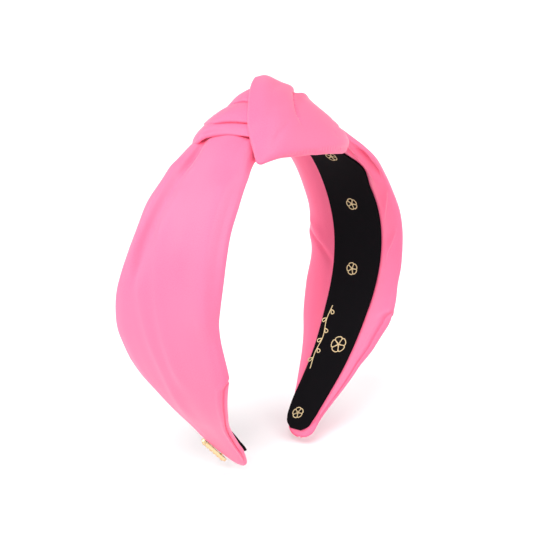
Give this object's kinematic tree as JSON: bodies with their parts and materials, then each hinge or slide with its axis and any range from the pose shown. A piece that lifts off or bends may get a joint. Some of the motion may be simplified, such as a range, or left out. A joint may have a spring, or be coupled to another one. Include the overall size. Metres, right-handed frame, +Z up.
{
  "type": "knotted headband",
  "caption": "Wide fabric-covered spring headband with a single knot at the crown, tapered tips, a ribbon lining inside and arms that flex open.",
  "frame": {"origin": "middle of the crown, on the inner face of the lining, where it rests on the top of the head", "axes": "+Z up, away from the head; +X towards the right arm as seen from the front, -X towards the left arm; -Y is the front, which the knot's strap crosses upwards from left to right"},
  "size_m": [0.1392, 0.0546, 0.1628],
  "materials": {
    "cover_pink": "smooth matt woven fabric with a soft sheen",
    "lining_black": "black satin ribbon with small gold prints",
    "interlining": "non-woven felt",
    "core_plastic": "moulded",
    "badge_gold": "polished plate"
  },
  "bodies": {
    "crown": {"core_crown": "core_plastic", "lining_crown": "lining_black", "knot_wrap": "cover_pink", "knot_pleats_left": "cover_pink", "knot_pleats_right": "cover_pink"},
    "left_arm": {"core_left_arm": "core_plastic", "lining_left_arm": "lining_black", "interlining_left": "interlining", "cover_left": "cover_pink", "badge_plate": "badge_gold"},
    "right_arm": {"core_right_arm": "core_plastic", "lining_right_arm": "lining_black", "interlining_right": "interlining", "cover_right": "cover_pink"}
  },
  "joints": [
    {"name": "left_arm_flex", "type": "hinge", "parent": "crown", "child": "left_arm", "pos_m": [-0.03838, 0.00013, -0.01085], "axis": [0, 1, 0], "range_deg": [-7, 23], "stiffness_Nm_per_rad": 0.36},
    {"name": "right_arm_flex", "type": "hinge", "parent": "crown", "child": "right_arm", "pos_m": [0.03838, 0.00013, -0.01085], "axis": [0, -1, 0], "range_deg": [-7, 23], "stiffness_Nm_per_rad": 0.36}
  ]
}
